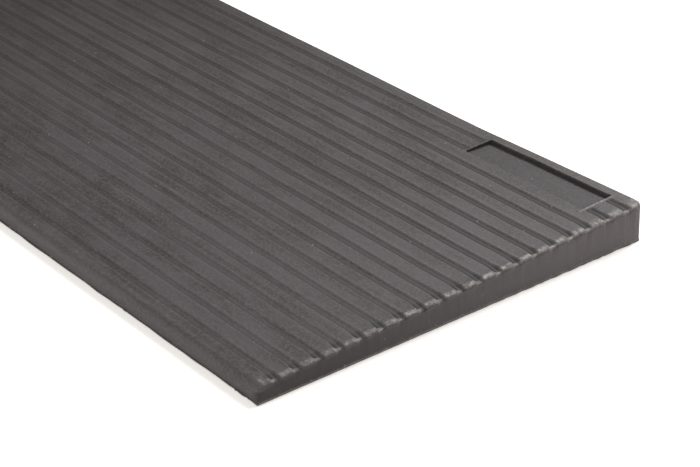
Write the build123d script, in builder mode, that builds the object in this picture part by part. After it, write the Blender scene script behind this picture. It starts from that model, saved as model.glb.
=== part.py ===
"""Rubber threshold ramp: one moulded wedge that lets a wheelchair roll over a door sill.

The ramp lies on the floor with its thin toe towards the user and its thick heel against the
sill.  The driving surface rises from toe to heel and is moulded with straight ribs that run
across the doorway, so the wheels meet them one after another.  A shallow blank recess near
one end of the heel takes a small rating plate.

Frame, in millimetres: X runs across the doorway, +Y runs uphill towards the heel and +Z is up.
The origin is the middle of the underside.
"""

from build123d import *
from math import atan2, cos, degrees, sin
import os

# Overall wedge
RAMP_WIDTH = 900.0           # across the doorway
RAMP_DEPTH = 300.0           # from the toe to the heel, along the floor
HEEL_HEIGHT = 26.0           # driving surface above the floor at the heel face
TOE_HEIGHT = 10.6            # driving surface above the floor, carried on to the toe
TOE_LEAN = 1.5               # how far the blunt toe face leans back at its top

# Rounded edges of the moulding
CORNER_RADIUS = 4.5          # four upright corners
TOP_EDGE_RADIUS = 3.0        # edge all round the driving surface

# Grooves that leave the ribs standing
GROOVE_COUNT = 19
GROOVE_PITCH = 15.2          # up the slope
GROOVE_MOUTH = 5.4           # width at the driving surface
GROOVE_DEPTH = 0.8
DOWNHILL_WALL = 0.5          # run of the steep wall on the downhill side
UPHILL_WALL = 1.9            # run of the gentle wall that a wheel climbs
TOE_LAND = 11.8              # plain strip between the toe and the first groove
CUT_CLEARANCE = 1.0          # how far each cutter stands out of the rubber

# Blank recess for a rating plate, near the +X end of the heel
RECESS_LENGTH = 106.0        # across the doorway
RECESS_WIDTH = 23.1          # from the toe side of the recess to its heel side
RECESS_DEPTH = 3.0           # at its heel side; its floor is level, so its toe side is shallower
RECESS_RADIUS = 1.0          # inside corners
RECESS_HEEL_MARGIN = 7.3     # from the heel to the recess
RECESS_END_MARGIN = 21.3     # from the +X end to the recess
RECESS_BORDER = 1.2          # plain rubber between the recess and the grooves that stop at it
STOPPED_GROOVES = 2          # grooves next to the heel that the recess interrupts

# Lengths that follow from them
HALF_WIDTH = RAMP_WIDTH / 2
HALF_DEPTH = RAMP_DEPTH / 2
RISE = HEEL_HEIGHT - TOE_HEIGHT
SLOPE_ANGLE = atan2(RISE, RAMP_DEPTH)
RECESS_RIGHT = HALF_WIDTH - RECESS_END_MARGIN
RECESS_LEFT = RECESS_RIGHT - RECESS_LENGTH
RECESS_MIDDLE = HALF_DEPTH - RECESS_HEEL_MARGIN - RECESS_WIDTH / 2
RECESS_FLOOR = HEEL_HEIGHT - RECESS_HEEL_MARGIN * RISE / RAMP_DEPTH - RECESS_DEPTH
THROUGH_GROOVES = GROOVE_COUNT - STOPPED_GROOVES


def groove_middle(index):
    """Distance up the slope from the toe to the middle of a groove, counted from the toe."""
    return TOE_LAND + GROOVE_MOUTH / 2 + index * GROOVE_PITCH


def groove_section_plane(x):
    """Upright plane across the ribs at x: local X up the slope, local Y out of the rubber."""
    return Plane(
        origin=(x, -HALF_DEPTH, TOE_HEIGHT),
        x_dir=(0, cos(SLOPE_ANGLE), sin(SLOPE_ANGLE)),
        z_dir=(1, 0, 0),
    )


# Section of one groove, open at the top, with its downhill wall first
groove_section = (
    (-GROOVE_MOUTH / 2, CUT_CLEARANCE),
    (-GROOVE_MOUTH / 2, 0),
    (DOWNHILL_WALL - GROOVE_MOUTH / 2, -GROOVE_DEPTH),
    (GROOVE_MOUTH / 2 - UPHILL_WALL, -GROOVE_DEPTH),
    (GROOVE_MOUTH / 2, 0),
    (GROOVE_MOUTH / 2, CUT_CLEARANCE),
)

# Runs of groove: where they start and end across the doorway, and which grooves they are.
# The grooves next to the heel stop short of the recess on both sides.
REACH = HALF_WIDTH + CUT_CLEARANCE
through = range(THROUGH_GROOVES)
stopped = range(THROUGH_GROOVES, GROOVE_COUNT)
groove_runs = (
    (-REACH, REACH, through),
    (-REACH, RECESS_LEFT - RECESS_BORDER, stopped),
    (RECESS_RIGHT + RECESS_BORDER, REACH, stopped),
)


with BuildPart() as ramp_body:
    # Wedge, drawn from the side and extruded across the doorway
    with BuildSketch(Plane.YZ.offset(-HALF_WIDTH)):
        Polygon(
            (-HALF_DEPTH, 0),
            (HALF_DEPTH, 0),
            (HALF_DEPTH, HEEL_HEIGHT),
            (TOE_LEAN - HALF_DEPTH, TOE_HEIGHT + TOE_LEAN * RISE / RAMP_DEPTH),
            align=None,
        )
    extrude(amount=RAMP_WIDTH)

    # Upright corners first, then the edge all round the driving surface
    end_faces = ramp_body.faces().filter_by(Axis.X)
    upright_edges = end_faces.edges().filter_by(lambda edge: edge.bounding_box().size.Z > TOE_HEIGHT / 2)
    upright_edges = upright_edges.filter_by(lambda edge: edge.bounding_box().size.Y < TOE_HEIGHT)
    fillet(upright_edges, radius=CORNER_RADIUS)
    top_face = ramp_body.faces().sort_by(Axis.Z)[-1]
    fillet(top_face.edges(), radius=TOP_EDGE_RADIUS)

    # Grooves
    for start, end, indices in groove_runs:
        with BuildSketch(groove_section_plane(start)):
            with Locations(*[(groove_middle(index), 0) for index in indices]):
                Polygon(*groove_section, align=None)
        extrude(amount=end - start, mode=Mode.SUBTRACT)

    # Recess for the rating plate, sunk straight down to a level floor
    with BuildSketch(Plane.XY.offset(RECESS_FLOOR)):
        with Locations(((RECESS_LEFT + RECESS_RIGHT) / 2, RECESS_MIDDLE)):
            RectangleRounded(RECESS_LENGTH, RECESS_WIDTH, RECESS_RADIUS)
    extrude(amount=RECESS_DEPTH + CUT_CLEARANCE, mode=Mode.SUBTRACT)

ramp_body.part.label = "ramp_body"

os.makedirs("parts", exist_ok=True)
export_step(ramp_body.part, "parts/ramp_body.step")

print(f"slope {degrees(SLOPE_ANGLE):.2f} degrees, recess floor {RECESS_FLOOR:.2f} above the floor")
print(f"volume {ramp_body.part.volume / 1e6:.3f} litres, size {ramp_body.part.bounding_box().size}")
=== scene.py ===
# %% [markdown]
# # A rubber threshold ramp
#
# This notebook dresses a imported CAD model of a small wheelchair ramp.  The ramp is one solid
# moulding of black rubber: a wedge whose top is ribbed from end to end, with a shallow blank
# recess for a rating plate.  The CAD model fixes its size and place.  Here we build the fine
# shape of the moulding, give it a rubber finish, and set up a plain studio round it.

# %% Load the frame
import math

import bpy
import numpy as np
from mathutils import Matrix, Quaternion, Vector


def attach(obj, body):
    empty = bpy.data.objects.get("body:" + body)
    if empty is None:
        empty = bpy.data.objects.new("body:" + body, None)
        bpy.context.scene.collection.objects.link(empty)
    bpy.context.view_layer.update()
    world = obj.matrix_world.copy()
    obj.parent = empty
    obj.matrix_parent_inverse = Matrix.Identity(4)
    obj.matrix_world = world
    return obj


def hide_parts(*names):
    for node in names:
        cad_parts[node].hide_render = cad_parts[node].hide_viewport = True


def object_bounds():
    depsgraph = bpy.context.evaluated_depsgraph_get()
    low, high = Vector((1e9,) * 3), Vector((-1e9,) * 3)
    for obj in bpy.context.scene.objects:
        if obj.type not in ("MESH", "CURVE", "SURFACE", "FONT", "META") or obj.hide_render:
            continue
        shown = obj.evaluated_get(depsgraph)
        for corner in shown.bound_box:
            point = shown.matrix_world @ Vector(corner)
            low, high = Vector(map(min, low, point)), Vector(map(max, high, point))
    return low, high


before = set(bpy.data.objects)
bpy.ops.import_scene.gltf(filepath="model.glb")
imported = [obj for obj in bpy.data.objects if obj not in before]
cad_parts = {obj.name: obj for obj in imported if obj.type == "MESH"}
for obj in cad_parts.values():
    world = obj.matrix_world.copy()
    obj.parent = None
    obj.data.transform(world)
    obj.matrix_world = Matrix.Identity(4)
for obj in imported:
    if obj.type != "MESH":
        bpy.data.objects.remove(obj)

cad_low, cad_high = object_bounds()
print("CAD box in metres:", tuple(cad_low), tuple(cad_high))

# %% [markdown]
# ## Sizes
#
# Blender works in metres, but a mould maker thinks in millimetres.  One constant, `MM`, turns
# the second into the first.  The overall sizes are read from the CAD box, and only the details
# that the box can't tell are written down here.  Places on the driving surface are given as
# `x`, across the doorway, and `s`, up the slope from the toe.

# %% Sizes of the moulding
MM = 0.001

HALF_WIDTH = cad_high.x
TOE_Y = cad_low.y
HEEL_Y = cad_high.y
HEEL_HEIGHT = 26.0 * MM      # where the driving surface would meet the heel face
TOE_HEIGHT = 10.6 * MM       # the same at the toe
TOE_LEAN = 1.5 * MM          # the toe face leans back this far at its top
SLOPE = (HEEL_HEIGHT - TOE_HEIGHT) / (HEEL_Y - TOE_Y)
SLOPE_COS = math.cos(math.atan(SLOPE))
SLOPE_LENGTH = (HEEL_Y - TOE_Y) / SLOPE_COS

GROOVE_COUNT = 19
GROOVE_PITCH = 15.2 * MM
GROOVE_MOUTH = 5.4 * MM
GROOVE_DEPTH = 0.8 * MM
TOE_LAND = 11.8 * MM         # from the toe up the slope to the first groove

print(f"slope 1 : {1 / SLOPE:.1f}, {SLOPE_LENGTH / MM:.1f} mm long")

# %% [markdown]
# ## Waviness
#
# Rubber shrinks a little unevenly as it cools, so no edge of a moulding is quite straight.
# A sum of a few sine waves with seeded phases gives a gentle wander that is the same on
# every run.  `fade` is the smooth step that blends one shape into the next.

# %% Smooth wander and smooth step
def wander(at, wavelength, seed, waves=5):
    """Smooth noise of about one unit along a line, from a few sine waves."""
    random = np.random.RandomState(seed)
    total = np.zeros_like(np.asarray(at, float))
    for _ in range(waves):
        stretch = random.uniform(0.6, 1.7)
        phase = random.uniform(0, 2 * math.pi)
        total += np.sin(2 * math.pi * np.asarray(at) / (wavelength * stretch) + phase)
    return total / math.sqrt(waves)


def fade(value, start, end):
    """0 at start, 1 at end and smooth between, whichever of the two is larger."""
    t = np.clip((np.asarray(value, float) - start) / (end - start), 0, 1)
    return t * t * (3 - 2 * t)


# %% [markdown]
# ## The rib profile
#
# Seen from the side, each groove is a shallow trapezoid with rounded corners, because a mould
# is cut with round-nosed tools and rubber can't fill a sharp corner.  Its downhill wall is
# steep and its uphill wall is a gentle one that a wheel climbs easily.  The profile is a
# polyline whose corners are replaced by arcs.  The points of those arcs become the rows of the
# mesh, so every row lies exactly where the shape bends.

# %% Corners to arcs
def rounded(corners, steps):
    """Points of a polyline whose corners (x, y, radius) are replaced by arcs of that radius."""
    points = [np.array(corners[0][:2])]
    for before, here, after in zip(corners, corners[1:], corners[2:]):
        p, radius = np.array(here[:2]), here[2]
        back = np.array(before[:2]) - p
        on = np.array(after[:2]) - p
        back, on = back / np.linalg.norm(back), on / np.linalg.norm(on)
        half = math.acos(float(np.clip(back @ on, -1, 1))) / 2
        reach = radius / math.tan(half)
        bisector = (back + on) / np.linalg.norm(back + on)
        centre = p + bisector * radius / math.sin(half)
        start, end = p + back * reach - centre, p + on * reach - centre
        turn = math.atan2(start[0] * end[1] - start[1] * end[0], float(start @ end))
        for i in range(steps + 1):
            c, s = math.cos(turn * i / steps), math.sin(turn * i / steps)
            points.append(centre + (c * start[0] - s * start[1], s * start[0] + c * start[1]))
    points.append(np.array(corners[-1][:2]))
    return np.array(points)


# One groove, from its downhill edge (0) to its uphill edge: place up the slope, depth, radius
GROOVE_CORNERS = (
    (-2.0 * MM, 0.0),
    (0.0, 0.0, 0.6 * MM),
    (0.45 * MM, -GROOVE_DEPTH, 0.3 * MM),
    (GROOVE_MOUTH - 1.9 * MM, -GROOVE_DEPTH, 1.6 * MM),
    (GROOVE_MOUTH, 0.0, 2.0 * MM),
    (GROOVE_MOUTH + 2.0 * MM, 0.0),
)
groove_profile = rounded(GROOVE_CORNERS, steps=3)[1:-1]
groove_starts = TOE_LAND + GROOVE_PITCH * np.arange(GROOVE_COUNT)
print(len(groove_profile), "points round one groove")

# %% [markdown]
# ## The recess
#
# A shallow rectangle is sunk in the driving surface near one end of the heel, where a maker
# bonds a rating plate.  It interrupts the two uppermost grooves, which stop just short of it.
# Its walls are steep and its top edges almost sharp.  Its floor is level, so it is deepest at
# the heel and its toe side barely shows.

# %% Recess
RECESS_LENGTH = 106.0 * MM
RECESS_WIDTH = 23.1 * MM
RECESS_DEPTH = 3.0 * MM      # at its heel side
RECESS_CORNER = 1.0 * MM
RECESS_BORDER = 1.2 * MM     # plain rubber between the recess and the grooves that stop at it
RECESS_RIM = 0.35 * MM       # radius of its top edge
RECESS_WALL = 0.15 * MM      # how far the wall leans over its height
RECESS_FOOT = 0.4 * MM       # radius between wall and floor
RECESS_HEEL_MARGIN = 7.3 * MM
RECESS_END_MARGIN = 21.3 * MM

recess_right = HALF_WIDTH - RECESS_END_MARGIN
recess_left = recess_right - RECESS_LENGTH
recess_top = SLOPE_LENGTH - RECESS_HEEL_MARGIN
recess_bottom = recess_top - RECESS_WIDTH


def recess_depth(outside, s):
    """Depth of the recess at s and at a distance outside its outline, negative inside."""
    floor = RECESS_DEPTH - np.clip(recess_top - s, 0, RECESS_WIDTH) * SLOPE
    wall = floor - RECESS_RIM - RECESS_FOOT
    d = np.asarray(outside, float)
    rim = RECESS_RIM - np.sqrt(np.clip(RECESS_RIM**2 - (RECESS_RIM - d) ** 2, 0, None))
    side = RECESS_RIM + wall * (-d / RECESS_WALL)
    run = np.clip((-d - RECESS_WALL) / RECESS_FOOT, 0, 1)
    foot = floor - RECESS_FOOT + RECESS_FOOT * np.sqrt(1 - (1 - run) ** 2)
    depth = np.where(d > 0, rim, np.where(d > -RECESS_WALL, side, foot))
    return np.where(d > RECESS_RIM, 0.0, depth)


def outside_recess(x, s):
    """Distance from the outline of the recess, which has rounded corners."""
    across = np.abs(x - (recess_left + recess_right) / 2) - RECESS_LENGTH / 2 + RECESS_CORNER
    along = np.abs(s - (recess_bottom + recess_top) / 2) - RECESS_WIDTH / 2 + RECESS_CORNER
    corner = np.hypot(np.clip(across, 0, None), np.clip(along, 0, None))
    return corner + np.minimum(np.maximum(across, along), 0) - RECESS_CORNER


# %% [markdown]
# ## Grooves over the whole surface
#
# `groove_depth` sums up the grooves as one height field.  The uppermost two stop at the recess
# in a half-round end, so there the profile is read by the distance from the last point of the
# groove's middle line.  The grooves are weaker towards the toe, where feet and wheels have worn
# the ribs.  Near both ends of the ramp the mould is cut deeper, so the grooves open out before
# they run off the edge.
#
# `slide` then shifts points up or down the slope.  It widens the mouths at the ends and lets the
# edges ripple a little, so no rib is ruled with a straightedge.

# %% Groove field
STOPPED_GROOVES = 2
TOE_SHARE = 0.42             # share of the full depth that is left at the toe
HEEL_SHARE = 0.80            # the same at the heel
RIGHT_SHARE = 0.10           # more of it near the +X end of the heel
SHARE_GROWS = (40.0 * MM, 220.0 * MM)   # stretch up the slope over which the share grows
RIGHT_GROWS = (170.0 * MM, 10.0 * MM)   # the same for the +X end, as distances from it
END_FLARE_START = 12.0 * MM  # distance from the end where the grooves begin to open out
END_FLARE_FULL = 3.0 * MM
END_DEEPER = 1.3             # extra depth at the end, as a share of the depth
END_WIDER = 0.20             # extra width at the end, as a share of the mouth
STUB_DEEPER = 0.3            # share of that extra depth along the short grooves by the recess
STUB_FADE = 3.0 * MM         # and how fast it comes in past the recess


def kept_share(x, s):
    """Share of the full groove depth that is left after years of use."""
    uphill = fade(s, *SHARE_GROWS)
    right = fade(HALF_WIDTH - x, *RIGHT_GROWS)
    return TOE_SHARE + uphill * (HEEL_SHARE - TOE_SHARE + RIGHT_SHARE * right)


def opened(x):
    """How far a groove has opened out at x: 0 along the run, 1 at the ends."""
    return fade(HALF_WIDTH - np.abs(x), END_FLARE_START, END_FLARE_FULL)


def beyond_stop(x, index):
    """How far x lies inside the stretch where a groove is interrupted."""
    if index < GROOVE_COUNT - STOPPED_GROOVES:
        return np.zeros_like(x)
    reach = RECESS_BORDER + GROOVE_MOUTH / 2
    return np.clip(np.minimum(x - recess_left + reach, recess_right + reach - x), 0, None)


def groove_depth(x, s):
    """Depth of the grooves at x across the doorway and s up the slope."""
    depth = np.zeros(np.broadcast(x, s).shape)
    for index, start in enumerate(groove_starts):
        aside = s - start - GROOVE_MOUTH / 2
        reach = np.where(aside < 0, -1, 1) * np.hypot(aside, beyond_stop(x, index))
        profile = np.interp(reach + GROOVE_MOUTH / 2, groove_profile[:, 0], -groove_profile[:, 1])
        depth = np.maximum(depth, profile)
    beside_recess = fade(x, recess_right, recess_right + STUB_FADE) * (s > recess_bottom - GROOVE_PITCH / 3)
    deeper = np.maximum(opened(x), STUB_DEEPER * beside_recess)
    return depth * (kept_share(x, s) + END_DEEPER * deeper)


RIPPLE = 0.12 * MM           # sideways wander of all ribs together
DRIFT = 0.10 * MM            # slower wander, different from rib to rib
DRIFT_SLANT = 7.0            # how much faster it changes up the slope than along the ribs
RIM_RIPPLE = 0.16 * MM       # quick wander of the heel side of the recess
RIM_BAND = (2.5 * MM, 0.8 * MM)         # distances from that side where it fades in
TOE_CALM = 9.0 * MM          # no wander at the toe and at the heel, where the edges begin
HEEL_CALM = 5.0 * MM


def slide(x, s):
    """Shift up the slope that widens the grooves at the ends and lets their edges wander."""
    phase = (s - TOE_LAND - GROOVE_MOUTH / 2) / GROOVE_PITCH
    aside = (phase - np.round(phase)) * GROOVE_PITCH
    half, middle = GROOVE_MOUTH / 2, GROOVE_PITCH / 2
    wider = END_WIDER * half
    spread = np.interp(aside, [-middle, -half, half, middle], [0, -wider, wider, 0])
    near_rim = fade(np.abs(s - recess_top), *RIM_BAND) * (x > recess_left - RECESS_BORDER)
    ripple = RIPPLE * wander(x, 60 * MM, seed=11)
    ripple = ripple + DRIFT * wander(x + DRIFT_SLANT * s, 150 * MM, seed=12)
    ripple = ripple + near_rim * RIM_RIPPLE * wander(x, 9 * MM, seed=13)
    inside = fade(s, 0, TOE_CALM) * fade(s, SLOPE_LENGTH, SLOPE_LENGTH - HEEL_CALM)
    return (spread * opened(x) + ripple) * inside


print(f"grooves {GROOVE_DEPTH * TOE_SHARE / MM:.2f} mm deep at the toe,",
      f"{GROOVE_DEPTH * HEEL_SHARE / MM:.2f} mm at the heel")


# %% [markdown]
# ## Rows and columns
#
# The driving surface is a grid.  Its rows run along the ribs and its columns run up the slope.
# Both are crowded where the shape bends and sparse where it is plain, which keeps the mesh
# light.  `merge` drops lines that would fall almost on top of each other.

# %% Grid lines
DRAFT = 1.0 * MM             # the end faces lean in by this much at the top, to leave the mould
END_ROLL = 4.0 * MM          # how far in from the end face the rib ends roll over
END_DROP = 3.6 * MM          # and how far down at the heel
TIGHT_TOE = 0.5              # share of that drop at the toe
TOE_ROLL = 4.2 * MM          # the same for the toe edge: how far in
TOE_DROP = 5.6 * MM          # and how far down
HEEL_DRAFT = 0.1 * MM        # lean of the heel face
HEEL_ROLL = 0.9 * MM         # how far in and down its edge rolls over
CORNER_ZONE = 3.0 * MM       # border of the grid that turns into each rounded upright corner
CORNER_ANGLES = (30, 15, 0)  # degrees, where grid lines meet that corner
END_GAPS = (4.2 * MM, 5.6 * MM, 7.4 * MM, 9.6 * MM)     # columns where the grooves open out
COLUMN_STEP = 11.0 * MM      # elsewhere
LAND_SHARES = (0.2, 0.5, 0.8)           # rows across the flat top of a rib
RIM_SHARES = (-1.0, -0.6, -0.25, 0.0)   # lines over the rounded rim of the recess
FOOT_SHARE = 0.35            # and part of the way over the radius at its foot
STOP_MARGIN = 0.2 * MM       # first line over a groove's stop lies this far before it
STOP_STEPS = 8
CLOSEST_COLUMNS = 0.09 * MM
CLOSEST_ROWS = 0.06 * MM


def merge(lines, low, high, closest):
    """Sorted lines between low and high, with none closer than `closest` to the one before."""
    kept = [low]
    for line in sorted(lines):
        if line - kept[-1] >= closest and high - line >= closest:
            kept.append(line)
    return np.array(kept + [high])


def wall_lines(edge, inward):
    """Grid lines over one wall of the recess. inward is +1 or -1."""
    offsets = [RECESS_RIM * share for share in RIM_SHARES]
    offsets += [RECESS_WALL + RECESS_FOOT * share for share in (0.0, FOOT_SHARE, 1.0)]
    return [edge + inward * offset for offset in offsets]


def stop_lines(stop, side):
    """Grid lines over the rounded stop of a groove. side is +1 where the groove lies at higher x."""
    steps = np.linspace(0, GROOVE_MOUTH / 2 + STOP_MARGIN, STOP_STEPS) - STOP_MARGIN
    return list(stop + side * steps)


corner_gaps = [CORNER_ZONE * (1 - math.tan(math.radians(angle))) for angle in CORNER_ANGLES]
inner_x = HALF_WIDTH - DRAFT - END_ROLL
x_lines = list(np.arange(-inner_x, inner_x, COLUMN_STEP))
x_lines += [side * (inner_x - gap) for side in (-1, 1) for gap in (*corner_gaps, *END_GAPS)]
x_lines += wall_lines(recess_left, 1) + wall_lines(recess_right, -1)
x_lines += stop_lines(recess_left - RECESS_BORDER, -1) + stop_lines(recess_right + RECESS_BORDER, 1)
x_lines = merge(x_lines, -inner_x, inner_x, CLOSEST_COLUMNS)

inner_toe = TOE_LEAN + TOE_ROLL
inner_heel = SLOPE_LENGTH - HEEL_DRAFT - HEEL_ROLL
s_lines = [start + point for start in groove_starts for point in groove_profile[:, 0]]
rib_top = GROOVE_PITCH - GROOVE_MOUTH
s_lines += [start - share * rib_top for start in groove_starts for share in LAND_SHARES]
s_lines += wall_lines(recess_bottom, 1) + wall_lines(recess_top, -1)
s_lines += [inner_toe + gap for gap in corner_gaps]
s_lines += [inner_heel - gap for gap in corner_gaps]
s_lines = merge(s_lines, inner_toe, inner_heel, CLOSEST_ROWS)
print(len(x_lines), "columns,", len(s_lines), "rows")

# %% [markdown]
# ## The skin of the moulding
#
# The grid becomes the top.  Rings of vertices then go round its border: first over the rounded
# edge, then down the sides, round a thin ragged lip of flash where the two halves of the mould
# met, and under.  A second grid of the same rows and columns closes the underside, so that no
# face has more than four corners.
#
# Each ring follows an outline with rounded corners.  The corner vertices are spread over the
# arc by their angle, so the same vertices can turn a soft corner at the top and a tight one at
# the floor.

# %% Outlines
FLASH_HEIGHT = 0.9 * MM      # of the lip, above the floor
FLASH_REACH = 0.5 * MM       # the sides end this far inside the CAD outline, to leave room for it
FLASH_TORN = 0.8 * MM        # furthest that torn flash stands out
TOP_CORNERS = (3.6 * MM, 5.0 * MM)      # radius seen from above, toe and heel
FLOOR_CORNERS = (0.8 * MM, 3.0 * MM)    # the same at the floor
TINY = 1e-7                  # metres, less than any gap between grid lines


def slope_height(y):
    """Height of the driving surface at y, before any groove."""
    return TOE_HEIGHT + (y - TOE_Y) * SLOPE


def border(nx, ns):
    """Grid index pairs round the border, anticlockwise from the toe's left corner."""
    walk = [(i, 0) for i in range(nx)]
    walk += [(nx - 1, j) for j in range(1, ns)]
    walk += [(i, ns - 1) for i in range(nx - 2, -1, -1)]
    walk += [(0, j) for j in range(ns - 2, 0, -1)]
    return np.array(walk)


def outline(x, y, ends, radii, half_x, out_low, out_high):
    """Border vertices moved out to a rectangle half_x, out_low, out_high with rounded corners."""
    at_heel = y > (ends[0] + ends[1]) / 2
    turn_x = inner_x - CORNER_ZONE
    turn_y = np.where(at_heel, ends[1] - CORNER_ZONE, ends[0] + CORNER_ZONE)
    past_x = np.abs(x) - turn_x
    past_y = np.where(at_heel, y - turn_y, turn_y - y)
    radius = np.where(at_heel, radii[1], radii[0])
    edge_y = np.where(at_heel, out_high, out_low)
    inward = np.where(at_heel, -1, 1)
    in_corner = (past_x > 0) & (past_y > 0)
    angle = np.arctan2(past_y, past_x)
    corner_x = half_x - radius + radius * np.cos(angle)
    corner_y = edge_y + inward * radius * (1 - np.sin(angle))
    on_end = ~in_corner & (np.abs(x) > inner_x - TINY)
    out_x = np.where(in_corner, np.sign(x) * corner_x, np.where(on_end, np.sign(x) * half_x, x))
    out_y = np.where(in_corner, corner_y, np.where(on_end, y, edge_y))
    return np.stack([out_x, out_y], 1)


# %% [markdown]
# Next come the vertices.  Where a groove runs off an end, its depth is measured square to the
# rounded edge and fades as it turns down, so the groove leaves a small notch in the end face.

# %% Top grid and its border
nx, ns = len(x_lines), len(s_lines)
grid_x, grid_s = np.meshgrid(x_lines, s_lines, indexing="ij")
grooves = groove_depth(grid_x, grid_s)
recess = recess_depth(outside_recess(grid_x, grid_s), grid_s)
grid_y = TOE_Y + (grid_s + slide(grid_x, grid_s)) * SLOPE_COS
top = np.stack([grid_x, grid_y, slope_height(grid_y) - np.maximum(grooves, recess)], -1)

walk = border(nx, ns)
walk_x, walk_y = grid_x[walk[:, 0], walk[:, 1]], grid_y[walk[:, 0], walk[:, 1]]
inner = np.stack([walk_x, walk_y], 1)
border_depth = grooves[walk[:, 0], walk[:, 1]]
ends_y = (grid_y.min(), grid_y.max())
upper = outline(
    walk_x, walk_y, ends_y, TOP_CORNERS,
    half_x=HALF_WIDTH - DRAFT, out_low=TOE_Y + TOE_LEAN, out_high=HEEL_Y - HEEL_DRAFT,
)
lower = outline(
    walk_x, walk_y, ends_y, FLOOR_CORNERS,
    half_x=HALF_WIDTH - FLASH_REACH, out_low=TOE_Y + FLASH_REACH, out_high=HEEL_Y - FLASH_REACH,
)
outward = upper - inner
outward = outward / np.linalg.norm(outward, axis=1)[:, None]
end_share = outward[:, 0] ** 2          # 1 along the end faces, 0 along the toe and the heel
print("grid of", nx, "by", ns, "with", len(walk), "vertices round its border")

# %% [markdown]
# The edge is broad along the toe, where wheels arrive, and tight along the heel.  Over the ends
# it drops further towards the heel, and a hand could feel that it isn't even.  `ring_turn` says
# how far round each ring lies: up to 1 over the rounded edge, up to 2 down the side, a little
# more round the lip and 3 underneath.

# %% Rings over the rounded edge
DROP_WAVER = 0.13            # how uneven the drop over the ends is, as a share of it
FACE_WAVER = 0.22 * MM       # how far the top of an end face weaves in and out
ROLL_STEPS = 8
NOTCH_LEFT = 0.22            # share of the groove's depth left where the rounded edge ends
NOTCH_CURVE = 1.3            # above 1, the notch stays deep until late in the turn

uneven = wander(walk_y, 5 * MM, seed=31) * end_share
tightness = TIGHT_TOE + (1 - TIGHT_TOE) * fade(walk_y, TOE_Y, HEEL_Y)
end_drop = END_DROP * tightness * (1 + DROP_WAVER * uneven)
edge_drop = end_drop * end_share + (1 - end_share) * np.where(walk_y > 0, HEEL_ROLL, TOE_DROP)
upper = upper - outward * (FACE_WAVER * wander(walk_y, 7 * MM, seed=32) * end_share)[:, None]

rings, ring_turn = [], []
for step in range(1, ROLL_STEPS + 1):
    angle = math.pi / 2 * step / ROLL_STEPS
    notch = border_depth * (1 - (1 - NOTCH_LEFT) * (step / ROLL_STEPS) ** NOTCH_CURVE)
    flat = inner + (upper - inner) * math.sin(angle) - outward * (notch * math.sin(angle))[:, None]
    height = slope_height(inner[:, 1] + (upper - inner)[:, 1] * math.sin(angle))
    height = height - edge_drop * (1 - math.cos(angle)) - notch * math.cos(angle)
    rings.append(np.column_stack([flat, height]))
    ring_turn.append(step / ROLL_STEPS)

print(len(rings), "rings over the rounded edge")

# %% Rings down the side, round the lip and under
SIDE_SHARES = (0.1, 0.22, 0.45, 0.7, 0.9, 1.0)          # shares of the way down the side
NOTCH_END = SIDE_SHARES[1]   # the notch of a groove has run out by here
LIP_UNEVEN = 0.25            # how uneven the height of the lip is, as a share of it
LIP_RINGS = ((0.8, 0.75), (1.0, 0.4), (0.7, 0.08))      # reach and height, as shares of the lip's
TRIMMED = 0.75               # share of the torn flash that was trimmed off the ends, near the toe
TRIM_STRETCH = (120.0 * MM, -20.0 * MM)                 # stretch of y over which the trimming grows
TEAR_MEAN = 0.5              # how far the torn edge stands out, as a share of the furthest
TEAR_SLOW = 0.45             # and how much that changes from tear to tear
TEAR_QUICK = 0.35            # and within one
UNDERCUT = 0.6 * MM          # the underside starts this far in

side_top = slope_height(upper[:, 1]) - edge_drop
lip_top = FLASH_HEIGHT * (1 + LIP_UNEVEN * wander(np.arange(len(walk)), 9.0, seed=4))
for share in SIDE_SHARES:
    flat = upper + (lower - upper) * share
    flat = flat - outward * (border_depth * NOTCH_LEFT * max(0.0, 1 - share / NOTCH_END))[:, None]
    rings.append(np.column_stack([flat, side_top + (lip_top - side_top) * share]))
    ring_turn.append(1 + share)

along = np.cumsum(np.r_[0, np.linalg.norm(np.diff(lower, axis=0), axis=1)])
ragged = TEAR_MEAN + TEAR_SLOW * wander(along, 14 * MM, seed=5)
ragged = ragged + TEAR_QUICK * wander(along, 4 * MM, seed=6)
ragged = np.clip(ragged, 0, 1) * (1 - (end_share > 0.5) * fade(walk_y, *TRIM_STRETCH) * TRIMMED)
for reach, height in LIP_RINGS:
    flat = lower + outward * (FLASH_TORN * reach * ragged)[:, None]
    rings.append(np.column_stack([flat, lip_top * height]))
    ring_turn.append(2.0 + reach * 0.1)
rings.append(np.column_stack([lower - outward * UNDERCUT, np.zeros(len(walk))]))
ring_turn.append(3.0)
print(len(rings), "rings in all")
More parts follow.
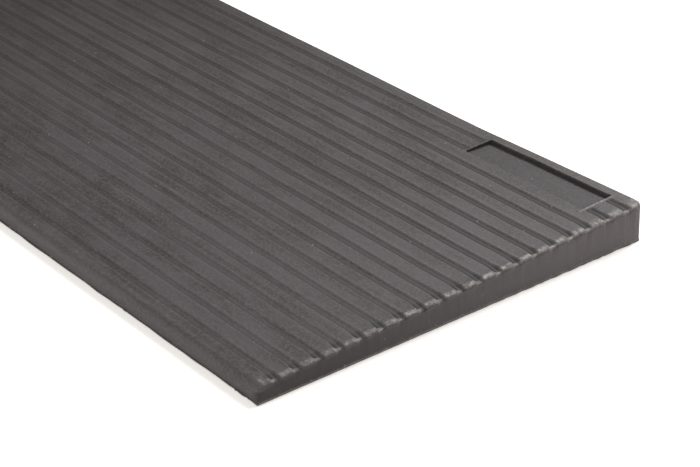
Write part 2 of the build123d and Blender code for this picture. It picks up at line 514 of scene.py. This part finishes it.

# %% [markdown]
# ## Wear, painted highlights, painted shade and flash
#
# Old rubber shows where it has been touched.  Exposed edges, rib ends and corners are rubbed
# paler and smoother, and the same paleness carries painted highlights on the rib edges, the rib
# ends and the recess rim.  Groove floors and the recess get painted shade.  Four numbers per
# vertex tell the material where that is: wear with painted highlights on edges, painted shade
# in hollows, `flash` on the torn lip at the floor and `side` on the end faces and the heel face,
# which are smoother and get painted light.  They are worked out here, next to the shape that
# causes them.

# %% Wear and painted highlights on the driving surface
EDGE_WORN = 1.2 * MM         # how far the wear reaches in from a rib's edge
EDGE_OFFSET = 0.3 * MM       # its middle lies this far from the edge, on the rib
DOWNHILL_WEAR_AND_HIGHLIGHT = 0.65         # strength on the rib edge that a wheel meets last: wear and a painted highlight
UPHILL_WEAR = 0.50           # and on the one that it meets first
RIM_WEAR = 0.5               # round the recess
RIM_WORN = 0.7 * MM
END_RIM_HIGHLIGHT_WIDTH = 1.0 * MM      # width of a painted highlight along the rim of the recess's +X side
END_RIM_LENGTH = 14.0 * MM   # half the length of that stretch
END_RIM_MIDDLE = 10.0 * MM   # its middle, up from the lower side of the recess
END_WEAR_AND_HIGHLIGHT = 0.85              # on the rib ends: wear and a painted highlight
SCUFF_REACH = 7.5 * MM       # how far in that reaches
SCUFF_FARTHER = 5.0 * MM     # and how much farther near the heel
SCUFF_GROWS = (200.0 * MM, 280.0 * MM)
SCUFF_FULL = 4.5 * MM
LONG_EDGE_WEAR = 0.30        # along the toe and the heel
TOE_BAND = (9.0 * MM, 3.5 * MM)         # distances from the edge where it fades in
HEEL_BAND = (8.0 * MM, 5.0 * MM)
CORNER_WEAR = 0.9
CORNER_INSET = 2.0 * MM      # middle of a worn corner, from the toe or the heel
CORNER_STRETCH = 1.5         # it is this much longer along the ribs than up the slope
CORNER_BAND = (12.0 * MM, 5.0 * MM)


def near(distance, reach):
    """Falls from 1 to 0 as a distance grows past reach."""
    return np.exp(-(distance / reach) ** 2)


# Rib edges get paler: wear, and a painted highlight on the edge just downhill of each groove.
wear_and_highlight = np.zeros_like(grid_x)
for index, start in enumerate(groove_starts):
    present = (beyond_stop(grid_x, index) == 0) * kept_share(grid_x, grid_s)
    downhill = near(grid_s - start + EDGE_OFFSET, EDGE_WORN)
    uphill = near(grid_s - start - GROOVE_MOUTH - EDGE_OFFSET, EDGE_WORN)
    wear_and_highlight = np.maximum(wear_and_highlight, present * DOWNHILL_WEAR_AND_HIGHLIGHT * downhill)
    wear_and_highlight = np.maximum(wear_and_highlight, present * UPHILL_WEAR * uphill)

rim = outside_recess(grid_x, grid_s)
wear_and_highlight = np.maximum(wear_and_highlight, RIM_WEAR * near(rim - EDGE_OFFSET, RIM_WORN))
# Painted highlight along the rim of the recess's +X side.
beside_rim = np.abs(grid_s - recess_bottom - END_RIM_MIDDLE) < END_RIM_LENGTH
wear_and_highlight = np.maximum(wear_and_highlight, near(grid_x - recess_right - END_RIM_HIGHLIGHT_WIDTH / 2, END_RIM_HIGHLIGHT_WIDTH) * beside_rim)

from_end = HALF_WIDTH - np.abs(grid_x)
scuff_reach = SCUFF_REACH + SCUFF_FARTHER * fade(grid_s, *SCUFF_GROWS)
# Rib ends get paler: wear, and a painted highlight.
wear_and_highlight = np.maximum(wear_and_highlight, END_WEAR_AND_HIGHLIGHT * fade(from_end, scuff_reach, SCUFF_FULL))
wear_and_highlight = np.maximum(wear_and_highlight, LONG_EDGE_WEAR * fade(grid_s, *TOE_BAND))
wear_and_highlight = np.maximum(wear_and_highlight, LONG_EDGE_WEAR * fade(SLOPE_LENGTH - grid_s, *HEEL_BAND))
for corner_s in (CORNER_INSET, SLOPE_LENGTH - CORNER_INSET):
    from_corner = np.hypot(from_end / CORNER_STRETCH, grid_s - corner_s)
    wear_and_highlight = np.maximum(wear_and_highlight, CORNER_WEAR * fade(from_corner, *CORNER_BAND))

# %% [markdown]
# The hollows get painted shade.  A groove is darkest at the foot of its steep wall and pale
# again where its gentle wall comes up, so the painted shade starts from the depth and is then
# raised there and lowered here.  Inside the recess it is strongest along the walls.

# %% Painted shade on the driving surface
FLOOR_LIGHTER = 0.5          # how much of the painted shade the middle of a groove's floor loses
FLOOR_BAND = 0.7 * MM
WALL_LIGHTER = 0.6           # how much the gentle wall loses
WALL_BAND = (3.4 * MM, 4.6 * MM)        # where that wall begins and is well up
FOOT_AT = 1.2 * MM           # foot of the steep wall, up from the groove's downhill edge
FOOT_BAND = 0.8 * MM
RECESS_SHADE = 0.40        # painted shade over the floor of the recess
RECESS_FOOT_BAND = 1.6 * MM
SHADE_CLEARS_WEAR = 0.75        # share of the wear and highlight that full painted shade takes away

# Painted shade in the grooves and the recess, kept per vertex to darken the colour.
groove_share = np.clip(grooves / GROOVE_DEPTH, 0, 1)
painted_shade = groove_share
for start in groove_starts:
    aside = grid_s - start
    inside_mouth = (aside > 0) & (aside < GROOVE_MOUTH)
    floor_middle = inside_mouth * near(aside - 0.5 * GROOVE_MOUTH, FLOOR_BAND)
    painted_shade = painted_shade * (1 - FLOOR_LIGHTER * floor_middle)
    painted_shade = painted_shade * (1 - WALL_LIGHTER * inside_mouth * fade(aside, *WALL_BAND))
    painted_shade = painted_shade + inside_mouth * near(aside - FOOT_AT, FOOT_BAND) * groove_share
in_recess = np.maximum(near(rim, RECESS_FOOT_BAND), RECESS_SHADE)
painted_shade = np.maximum(painted_shade, np.where(rim < 0, in_recess, 0))
wear_and_highlight = wear_and_highlight * (1 - SHADE_CLEARS_WEAR * painted_shade)
print("worn share of the top:", round(float((wear_and_highlight > 0.4).mean()), 3))

# %% [markdown]
# The rings need the same numbers.  The mouth of each groove has a painted highlight, a bright
# spot on its downhill side where the rib's corner has been knocked smooth, and the groove's
# painted shade runs out over the rounded edge.  The end faces get painted shade towards the toe,
# and the toe face gets a painted contact shadow where it touches the floor.

# %% Wear, painted highlights, painted shade, flash and side on the rings
SPOT_AT = 0.9 * MM           # middle of the spot, up from the groove's downhill edge
SPOT_REACH = 1.7 * MM
SPOT_HIGHLIGHT = 1.3
RIB_END_WEAR_AND_HIGHLIGHT = (0.60, 0.35)  # wear and painted highlight at the toe, and how much more at the heel
MOST_WEAR = 1.7
PLAIN_EDGE_WEAR = 0.35       # over the toe and heel edges
LEAST_WEAR = 0.06            # on every side
HIDDEN_TO = (0.45, 0.7)      # turn where a groove's painted shade ends at the heel, and more at the toe
HIDDEN_GROWS = (70.0 * MM, -40.0 * MM)  # stretch of y over which it reaches farther
HIDDEN_LENGTH = 0.35         # turn over which it runs out
SPOT_CLEARS = 0.85           # share of the painted shade that the painted highlight spot takes away
HIDDEN_UNWORN = 0.3          # share of the wear and highlight that the painted shade takes away
CONTACT_SHADOW = 0.8
TOE_SIDE = 0.25              # the toe face looks more like the top than like the end faces
LONG_FLASH = 0.55            # flash along the toe and heel, as a share of that on the ends

at_end = end_share > 0.25
at_toe = ~at_end & (walk_y < 0)
walk_s = grid_s[walk[:, 0], walk[:, 1]]
from_start = (walk_s - TOE_LAND + GROOVE_PITCH / 2) % GROOVE_PITCH - GROOVE_PITCH / 2
# Painted highlight: a bright spot at the mouth of each groove, over the rib ends.
highlight_spot = near(from_start - SPOT_AT, SPOT_REACH) * at_end
uphill = fade(walk_y, TOE_Y, HEEL_Y)
rib_end_wear_and_highlight = np.clip(RIB_END_WEAR_AND_HIGHLIGHT[0] + RIB_END_WEAR_AND_HIGHLIGHT[1] * uphill + SPOT_HIGHLIGHT * highlight_spot, 0, MOST_WEAR)
hidden_to = HIDDEN_TO[0] + HIDDEN_TO[1] * fade(walk_y, *HIDDEN_GROWS)
border_share = np.clip(border_depth / GROOVE_DEPTH, 0, 1) * (1 - SPOT_CLEARS * highlight_spot)
ring_wear_and_highlight, ring_painted_shade, ring_flash, ring_side = [], [], [], []
for turn in ring_turn:
    over_edge = float(fade(turn, 1.15, 0.45))
    down_end = float(fade(turn, 0.8, 1.15)) * (turn < 2)
    at_floor = float(fade(turn, 1.8, 2.0))
    # Painted shade of each groove runs out over the rounded edge.
    hidden = border_share * fade(turn, hidden_to, hidden_to - HIDDEN_LENGTH)
    rolled = np.where(at_end, rib_end_wear_and_highlight, PLAIN_EDGE_WEAR) * over_edge + LEAST_WEAR
    ring_wear_and_highlight.append(rolled * (1 - HIDDEN_UNWORN * hidden))
    # Painted shade: the end faces get darker towards the toe.
    end_face_shade = down_end * (1 - uphill) * at_end
    # Painted contact shadow along the foot of the toe face.
    contact_shadow = CONTACT_SHADOW * at_toe * at_floor * (turn < 2.15)
    ring_painted_shade.append(np.maximum(np.maximum(hidden, end_face_shade), contact_shadow))
    # The side mask makes the end faces and heel face smoother and paints them paler, as painted light.
    ring_side.append(np.where(at_toe, TOE_SIDE, 1.0) * float(fade(turn, 0.7, 1.1)))
    ring_flash.append(np.where(end_share > 0.5, 1.0, LONG_FLASH) * at_floor * (turn < 2.5))
print("brightest rib end:", round(float(rib_end_wear_and_highlight.max()), 2))

# %% [markdown]
# ## A corner that has spread
#
# Stored rubber creeps.  The heel corner beside the recess has spread outwards by a few
# millimetres, and the whole heel by half a millimetre, so the heel line is not quite straight.
# Every vertex is moved by the same smooth rule, which keeps ribs, recess and heel face together.

# %% Spread the heel corner
CORNER_SPREAD = 4.7 * MM
SPREAD_LENGTH = 140.0 * MM   # along the heel
SPREAD_DEPTH = 44.0 * MM     # down the slope
SPREAD_CURVE = 0.9           # below 1, it grows a little faster at first
HEEL_CREEP = 0.5 * MM        # along the whole heel
LONG_CREEP = 0.22 * MM       # slow wander of both long edges


def settle(points):
    """Vertices after the corner has spread and the long edges have crept a little."""
    points = points.copy()
    x, y = points[:, 0], points[:, 1]
    to_end = np.clip((x - HALF_WIDTH + SPREAD_LENGTH) / SPREAD_LENGTH, 0, 1)
    to_heel = np.clip((y - HEEL_Y + SPREAD_DEPTH) / SPREAD_DEPTH, 0, 1)
    points[:, 1] += (HEEL_CREEP + CORNER_SPREAD * to_end**SPREAD_CURVE) * fade(to_heel, 0, 1)
    creep = LONG_CREEP * wander(x, 260 * MM, seed=21)
    points[:, 1] += creep * np.abs(y / HEEL_Y) ** 4
    return points


# %% [markdown]
# ## From points to a mesh
#
# Vertices go in a list, grid first, then the rings, then the underside.  Quads between
# neighbours give the faces.  The first ring joins the grid's border, and the last one joins
# the border of the underside.

# %% Build the mesh
grid_size = nx * ns
loop = len(walk)
under = np.stack([grid_x, grid_y, np.zeros_like(grid_x)], -1)
vertices = settle(np.concatenate([top.reshape(-1, 3)] + rings + [under.reshape(-1, 3)]))
top_index = np.arange(grid_size).reshape(nx, ns)
under_index = top_index + grid_size + loop * len(rings)


def grid_quads(index, flip):
    """Quads over a grid of vertex numbers."""
    corners = [index[:-1, :-1], index[1:, :-1], index[1:, 1:], index[:-1, 1:]]
    quads = np.stack(corners, -1).reshape(-1, 4)
    return quads[:, ::-1] if flip else quads


def band_quads(above, below):
    """Quads between two closed loops of vertex numbers."""
    return np.stack([above, below, np.roll(below, -1), np.roll(above, -1)], -1)


loops = [top_index[walk[:, 0], walk[:, 1]]]
loops += [grid_size + loop * r + np.arange(loop) for r in range(len(rings))]
loops.append(under_index[walk[:, 0], walk[:, 1]])
faces = [grid_quads(top_index, False)]
faces += [band_quads(a, b) for a, b in zip(loops, loops[1:])]
faces.append(grid_quads(under_index, True))
faces = np.concatenate(faces)

mesh = bpy.data.meshes.new("moulded_rubber_body")
mesh.from_pydata(vertices.tolist(), [], faces.tolist())
mesh.shade_smooth()
nothing = np.zeros(grid_size)
# Per-vertex numbers: wear with painted highlights, painted shade, torn flash, and the side mask.
layers = {
    "wear_and_highlight": [wear_and_highlight.ravel()] + ring_wear_and_highlight + [nothing],
    "painted_shade": [painted_shade.ravel()] + ring_painted_shade + [nothing],
    "flash": [nothing] + ring_flash + [nothing],
    "side": [nothing] + ring_side + [nothing + 1],
}
for name, parts in layers.items():
    layer = mesh.attributes.new(name, "FLOAT", "POINT")
    layer.data.foreach_set("value", np.concatenate(parts).astype(np.float32))
body = bpy.data.objects.new("moulded_rubber_body", mesh)
bpy.context.scene.collection.objects.link(body)
print(len(vertices), "vertices,", len(faces), "faces")

even_shading = body.modifiers.new("even_shading", "WEIGHTED_NORMAL")
even_shading.keep_sharp = True

# %% [markdown]
# ## Helpers for materials
#
# Colours are written as sRGB hex values, as a colour picker gives them, and one function turns
# them into the linear values that shaders use.  One helper adds a node with its settings, and
# each input is either a plain value or a socket to link.

# %% Colour and node helpers
def linear(hex_colour):
    """sRGB hex colour to the linear values that shaders use."""
    channels = [int(hex_colour[i:i + 2], 16) / 255 for i in (1, 3, 5)]
    return [c / 12.92 if c <= 0.04045 else ((c + 0.055) / 1.055) ** 2.4 for c in channels] + [1.0]


def add_node(tree, kind, inputs, **settings):
    """Adds a node. inputs maps an input's name or number to a value or to a socket to link."""
    node = tree.nodes.new("ShaderNode" + kind)
    for name, value in settings.items():
        setattr(node, name, value)
    for name, value in inputs.items():
        if isinstance(value, bpy.types.NodeSocket):
            tree.links.new(value, node.inputs[name])
        else:
            node.inputs[name].default_value = value
    return node


# %% [markdown]
# ## Moulded black rubber
#
# The real material is black crumb and natural rubber, compression moulded in a steel mould.
# Carbon black makes it nearly black all through.  What the eye sees is mostly a dull, broad
# sheen, since cured rubber has an index of about 1.52 and a matt skin copied from the mould.
# On top of that come these:
#
# - bloom, a grey haze of wax that rises to the skin in soft clouds and is wiped along the ribs
# - flow streaks and fine scratches, which run along the ribs too
# - a fine grain from the mould, which the smoother end faces and heel face hardly have
# - scuffed, paler and smoother rubber on rib ends and edges, which also carries painted highlights
# - a few pale specks of chalk and torn crumb
# - painted shade in the hollows, on the end faces towards the toe and along the foot of the toe
# - painted light that makes the end faces and the heel face paler
# - painted shade, with a browner tint, towards the far end
#
# The first five are noises whose scales come from real sizes in millimetres.  The grain of such a
# mould is really a few tenths of a millimetre wide.  It is drawn at 1.7 mm, or it would not show.

# %% Rubber: patterns
RUBBER_IOR = 1.52

rubber = bpy.data.materials.new("moulded_black_rubber")
rubber.use_nodes = True
tree = rubber.node_tree
shader = tree.nodes["Principled BSDF"]
place = add_node(tree, "TexCoord", {}).outputs["Object"]


def per_metre(size):
    """Texture scale that repeats once per size."""
    return 1 / size


def pattern(size, stretch=(1, 1, 1), turn=0.0, detail=3.0, rough=0.55, shift=0.0):
    """Noise with features of a real size, stretched along the ribs or not, from 0 to 1."""
    placed = add_node(tree, "Mapping", {
        "Vector": place, "Scale": stretch, "Rotation": (0, 0, turn), "Location": (shift, shift, 0),
    })
    noise = add_node(tree, "TexNoise", {
        "Vector": placed.outputs[0], "Scale": per_metre(size), "Detail": detail, "Roughness": rough,
    })
    return noise.outputs[0]


def ramp(value, low, high, to_low=0.0, to_high=1.0):
    """Smooth step of a value between low and high."""
    return add_node(tree, "MapRange", {
        "Value": value, "From Min": low, "From Max": high, "To Min": to_low, "To Max": to_high,
    }, interpolation_type="SMOOTHSTEP").outputs[0]


def combine(operation, first, second, third=0.0):
    """One arithmetic step on values or sockets."""
    inputs = {0: first, 1: second}
    if operation == "MULTIPLY_ADD":
        inputs[2] = third
    return add_node(tree, "Math", inputs, operation=operation).outputs[0]


def tint(amount, under, over):
    """Mixes two colours by an amount. The numbers are the Mix node's colour sockets."""
    mix = add_node(tree, "Mix", {0: amount, 6: under, 7: over}, data_type="RGBA")
    return mix.outputs[2]


def painted(name):
    """Value of one of the mesh's attributes."""
    return add_node(tree, "Attribute", {}, attribute_name=name).outputs["Fac"]


clouds = pattern(60 * MM, stretch=(0.5, 1, 1), detail=5, rough=0.65)
blotches = pattern(15 * MM, stretch=(0.45, 1, 1), detail=4, rough=0.6, shift=6.1)
land_tone = pattern(17 * MM, stretch=(0.04, 1, 1), detail=1.5, shift=0.3)
wiped = pattern(3.2 * MM, stretch=(0.03, 1, 1), detail=3, shift=1.1)
hairlines = pattern(1.5 * MM, stretch=(0.012, 1, 1), turn=0.03, detail=2, shift=2.2)
cross_scratches = pattern(1.6 * MM, stretch=(0.03, 1, 1), turn=0.55, detail=2, shift=3.4)
grain = pattern(1.7 * MM, detail=3, rough=0.75)
lumps = pattern(6.0 * MM, detail=3, rough=0.6, shift=0.7)
scuffs = pattern(3.0 * MM, detail=4, rough=0.7, shift=5.3)
crumbs = pattern(2.2 * MM, detail=2, shift=4.1)
print(len(tree.nodes), "nodes for the patterns")

# %% [markdown]
# The colour is built up as a painter would: the cured skin first, then the wax bloom, the grain
# with painted light on the end faces and the heel face, the scratches, the scuffs with painted
# highlights and the painted shade of the hollows.  Each layer is mixed in by its own pattern, so
# its strength can be changed without touching the others.

# %% Rubber: skin, bloom, grain and painted light on the sides
CURED_SKIN = linear("#241E1E")
WAX_BLOOM = linear("#3E393B")
GRAIN_AND_SIDE_LIGHT = linear("#4F494A")

bloom = combine("MULTIPLY_ADD", clouds, 0.55, combine("MULTIPLY", land_tone, 0.35))
bloom = combine("MULTIPLY_ADD", wiped, 0.5, bloom)
bloom = combine("MULTIPLY_ADD", blotches, 0.7, bloom)
bloom = ramp(bloom, 0.88, 1.22)
skin = tint(bloom, CURED_SKIN, WAX_BLOOM)

smoother = combine("MULTIPLY_ADD", painted("side"), -0.6, 1.0)
fleck_and_side_light = combine("MULTIPLY", combine("MULTIPLY", ramp(grain, 0.42, 0.66), 0.75), smoother)
# Painted light: the end faces and the heel face are painted paler with the grain colour.
fleck_and_side_light = combine("MULTIPLY_ADD", painted("side"), 0.74, fleck_and_side_light)
skin = tint(fleck_and_side_light, skin, GRAIN_AND_SIDE_LIGHT)

# %% Rubber: scratches, scuffs with painted highlights, and painted shade in the hollows
SCRATCH = linear("#6B6765")
SCUFF_AND_HIGHLIGHT = linear("#7B7571")
HOLLOW_SHADE = linear("#1A1514")

scratched = ramp(hairlines, 0.66, 0.78)
scratched = combine("MAXIMUM", scratched, ramp(cross_scratches, 0.72, 0.82))
skin = tint(combine("MULTIPLY", scratched, 0.35), skin, SCRATCH)

worn_and_highlight = combine("MULTIPLY_ADD", painted("wear_and_highlight"), 0.6, -0.55)
worn_and_highlight = combine("MULTIPLY_ADD", scuffs, 1.3, worn_and_highlight)
worn_and_highlight = combine("MULTIPLY_ADD", grain, 0.3, worn_and_highlight)
worn_and_highlight = combine("MULTIPLY", ramp(worn_and_highlight, 0.45, 0.95), ramp(painted("wear_and_highlight"), 0.35, 0.85))
# A plain share of the edge paleness is a painted highlight along every rib edge and rib end.
worn_and_highlight = combine("MAXIMUM", worn_and_highlight, combine("MULTIPLY", painted("wear_and_highlight"), 0.35))
skin = tint(combine("MULTIPLY", worn_and_highlight, 0.75), skin, SCUFF_AND_HIGHLIGHT)
# Painted shade: the hollows, the end faces towards the toe and the foot of the toe are darkened.
skin = tint(combine("MULTIPLY", painted("painted_shade"), 0.7), skin, HOLLOW_SHADE)

# %% [markdown]
# The half of the ramp away from the recess is painted darker and a little browner: painted shade
# where the light falls off towards that end, with a brown tint.

# %% Rubber: painted shade and a brown tint towards the far end
FAR_SHADE_AND_BROWN = linear("#261C16")
FAR_SHADE_GROWS = (200.0 * MM, -250.0 * MM)  # stretch of x over which it comes in

far_shade = ramp(add_node(tree, "SeparateXYZ", {0: place}).outputs["X"], *FAR_SHADE_GROWS)
# Painted shade, with a brown tint, towards the far end.
skin = tint(combine("MULTIPLY", far_shade, 0.60), skin, FAR_SHADE_AND_BROWN)

# %% [markdown]
# Specks are rare, so a cell pattern scatters them: each cell of about 9 mm may hold one speck,
# and only cells with a high random number keep it.  A speck is really 0.2 mm or so across, and
# is drawn at 0.7 mm, or it would not show.

# %% Rubber: specks and torn flash
CHALK = linear("#A5A09B")
TORN_CRUMB = linear("#8F8984")
SPECK_SPACING = 9.0 * MM
SPECK_SIZE = 0.7 * MM
SPECK_CORE = 0.3             # share of its size that is fully pale

cells = add_node(tree, "TexVoronoi", {"Vector": place, "Scale": per_metre(SPECK_SPACING)})
speck_edge = SPECK_SIZE / SPECK_SPACING
inside = ramp(cells.outputs["Distance"], speck_edge, SPECK_CORE * speck_edge)
chance = add_node(tree, "SeparateColor", {0: cells.outputs["Color"]}).outputs[0]
specks = combine("MULTIPLY", combine("MULTIPLY", inside, ramp(chance, 0.70, 0.85)), smoother)
skin = tint(combine("MULTIPLY", specks, 0.6), skin, CHALK)
torn = combine("MULTIPLY", painted("flash"), ramp(crumbs, 0.60, 0.68))
torn = combine("MAXIMUM", torn, ramp(painted("flash"), 0.6, 1.0, 0.0, 0.4))
skin = tint(combine("MULTIPLY", torn, 0.6), skin, TORN_CRUMB)

# %% [markdown]
# Gloss and relief follow the same patterns.  Matt rubber has a roughness of about 0.5.  Bloom,
# grain and the mask of the painted shade in the hollows make it duller, and rubbing breaks it
# into duller and shinier patches.
# The relief is only the fine texture that the mesh is too coarse for.


# %% Rubber: gloss and relief
RUBBER_ROUGHNESS = 0.47
RELIEF_HEIGHT = 1.0 * MM

gloss = combine("MULTIPLY_ADD", bloom, 0.06, RUBBER_ROUGHNESS)
gloss = combine("MULTIPLY_ADD", grain, 0.14, gloss)
broken = combine("MULTIPLY", painted("wear_and_highlight"), ramp(scuffs, 0.42, 0.60, 0.12, -0.16))
gloss = combine("ADD", gloss, broken)
gloss = combine("MULTIPLY_ADD", painted("painted_shade"), 0.16, gloss)

relief = combine("MULTIPLY_ADD", grain, 0.20, combine("MULTIPLY", lumps, 0.25))
relief = combine("MULTIPLY", relief, smoother)
relief = combine("MULTIPLY_ADD", wiped, 0.05, relief)
relief = combine("MULTIPLY_ADD", scratched, -0.05, relief)
relief = combine("MULTIPLY_ADD", combine("MULTIPLY", painted("wear_and_highlight"), scuffs), 0.8, relief)
bump = add_node(tree, "Bump", {"Height": relief, "Distance": RELIEF_HEIGHT, "Strength": 0.6})

tree.links.new(skin, shader.inputs["Base Color"])
tree.links.new(gloss, shader.inputs["Roughness"])
tree.links.new(bump.outputs[0], shader.inputs["Normal"])
shader.inputs["IOR"].default_value = RUBBER_IOR
mesh.materials.append(rubber)
print(len(tree.nodes), "nodes in the rubber")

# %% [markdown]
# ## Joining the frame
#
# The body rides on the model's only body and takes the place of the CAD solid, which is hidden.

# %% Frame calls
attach(body, "root")
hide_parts("ramp_body")

# %% [markdown]
# ## Studio
#
# The ramp lies on a white acrylic table, lit a little from below so that shadows stay pale.
# The room is bright overhead and dim at table height, except for a pale wall in front of the
# toe, which gives the toe's rounded edge a soft sheen.
#
# One large softbox hangs behind the heel, near the end with the recess.  From there it grazes
# the ribs, draws a bright line along every rounded rib end and leaves the recess walls dark.
# A grid on its front narrows the beam, so its light falls off towards the far end of the ramp.

# %% Room
ROOM_LIGHT = 0.66            # brightness of the ceiling
WALL_LIGHT = 0.05            # brightness of the walls at table height
FRONT_LIGHT = 0.75           # extra brightness of the wall in front of the toe
FRONT_SPAN = (-0.1, -0.8)    # Y of the direction in which that wall begins, and is at its brightest

world = bpy.data.worlds.new("white_room")
world.use_nodes = True
room = world.node_tree.nodes["Background"]
direction = add_node(world.node_tree, "TexCoord", {}).outputs["Generated"]
split = add_node(world.node_tree, "SeparateXYZ", {0: direction})
ceiling = add_node(world.node_tree, "MapRange", {
    "Value": split.outputs["Z"], "From Min": 0.0, "From Max": 1.0,
    "To Min": WALL_LIGHT, "To Max": ROOM_LIGHT,
})
front = add_node(world.node_tree, "MapRange", {
    "Value": split.outputs["Y"], "From Min": FRONT_SPAN[0], "From Max": FRONT_SPAN[1],
    "To Min": 0.0, "To Max": FRONT_LIGHT,
})
glow = add_node(world.node_tree, "Math", {0: ceiling.outputs[0], 1: front.outputs[0]}, operation="ADD")
room.inputs["Color"].default_value = (1, 1, 1, 1)
world.node_tree.links.new(glow.outputs[0], room.inputs["Strength"])
bpy.context.scene.world = world
bpy.context.scene.view_settings.view_transform = "Standard"
print("room from", WALL_LIGHT, "at table height to", ROOM_LIGHT, "overhead")

# %% Table
TABLE_GLOW = 0.32
TABLE_REACH = 15.0           # metres each way, so that its edge is out of sight
TABLE_GAP = 0.3 * MM
WHITE_ACRYLIC = linear("#F5F2EE")
WARM_GLOW = linear("#FFFAF6")
ACRYLIC_ROUGHNESS = 0.9      # its face is frosted

table_mesh = bpy.data.meshes.new("studio_table")
table_sides = ((-1, -1), (1, -1), (1, 1), (-1, 1))
table_corners = [(x * TABLE_REACH, y * TABLE_REACH, 0) for x, y in table_sides]
table_mesh.from_pydata(table_corners, [], [(0, 1, 2, 3)])
table = bpy.data.objects.new("studio_table", table_mesh)
bpy.context.scene.collection.objects.link(table)
table.location.z = cad_low.z - TABLE_GAP
acrylic = bpy.data.materials.new("white_acrylic")
acrylic.use_nodes = True
acrylic_shader = acrylic.node_tree.nodes["Principled BSDF"]
acrylic_shader.inputs["Base Color"].default_value = WHITE_ACRYLIC
acrylic_shader.inputs["Roughness"].default_value = ACRYLIC_ROUGHNESS
acrylic_shader.inputs["Emission Color"].default_value = WARM_GLOW
acrylic_shader.inputs["Emission Strength"].default_value = TABLE_GLOW
table_mesh.materials.append(acrylic)
print("table", 2 * TABLE_REACH, "m wide")

# %% Softbox
SOFTBOX_PLACE = Vector((0.20, 0.92, 1.02))
SOFTBOX_AIM = Vector((0.50, -0.28, 0.0))
SOFTBOX_WIDTH = 0.8
SOFTBOX_HEIGHT = 0.45
SOFTBOX_WATTS = 4.4
SOFTBOX_BEAM = math.radians(84)         # what the grid lets through

lamp = bpy.data.lights.new("key_softbox", "AREA")
lamp.shape = "RECTANGLE"
lamp.size = SOFTBOX_WIDTH
lamp.size_y = SOFTBOX_HEIGHT
lamp.energy = SOFTBOX_WATTS
lamp.spread = SOFTBOX_BEAM
softbox = bpy.data.objects.new("key_softbox", lamp)
softbox.location = SOFTBOX_PLACE
softbox.rotation_mode = "QUATERNION"
softbox.rotation_quaternion = (SOFTBOX_AIM - SOFTBOX_PLACE).to_track_quat("-Z", "Y")
bpy.context.scene.collection.objects.link(softbox)
print("softbox at", tuple(SOFTBOX_PLACE))

# %% [markdown]
# ## Camera
#
# The camera looks down at the end with the recess from about 28 degrees above the floor.  A
# long lens keeps the ribs nearly parallel.  The camera is tipped sideways by a degree.

# %% Camera
CAMERA_AZIMUTH = math.radians(49.67)
CAMERA_ELEVATION = math.radians(28.38)
CAMERA_ROLL = math.radians(1.08)
CAMERA_DISTANCE = 1155.4 * MM
FOCAL_LENGTH = 96.9          # of the lens and width of the sensor, in millimetres
SENSOR_WIDTH = 36.0

aim = Vector((HALF_WIDTH - 95.2 * MM, TOE_Y + 144.0 * MM, 17.9 * MM))
back = Vector((
    math.sin(CAMERA_AZIMUTH) * math.cos(CAMERA_ELEVATION),
    -math.cos(CAMERA_AZIMUTH) * math.cos(CAMERA_ELEVATION),
    math.sin(CAMERA_ELEVATION),
))
lens = bpy.data.cameras.new("camera")
lens.lens = FOCAL_LENGTH
lens.sensor_width = SENSOR_WIDTH
camera = bpy.data.objects.new("camera", lens)
camera.location = aim + back * CAMERA_DISTANCE
camera.rotation_mode = "QUATERNION"
camera.rotation_quaternion = (-back).to_track_quat("-Z", "Y") @ Quaternion((0, 0, 1), CAMERA_ROLL)
bpy.context.scene.collection.objects.link(camera)
bpy.context.scene.camera = camera
print("camera at", tuple(camera.location))
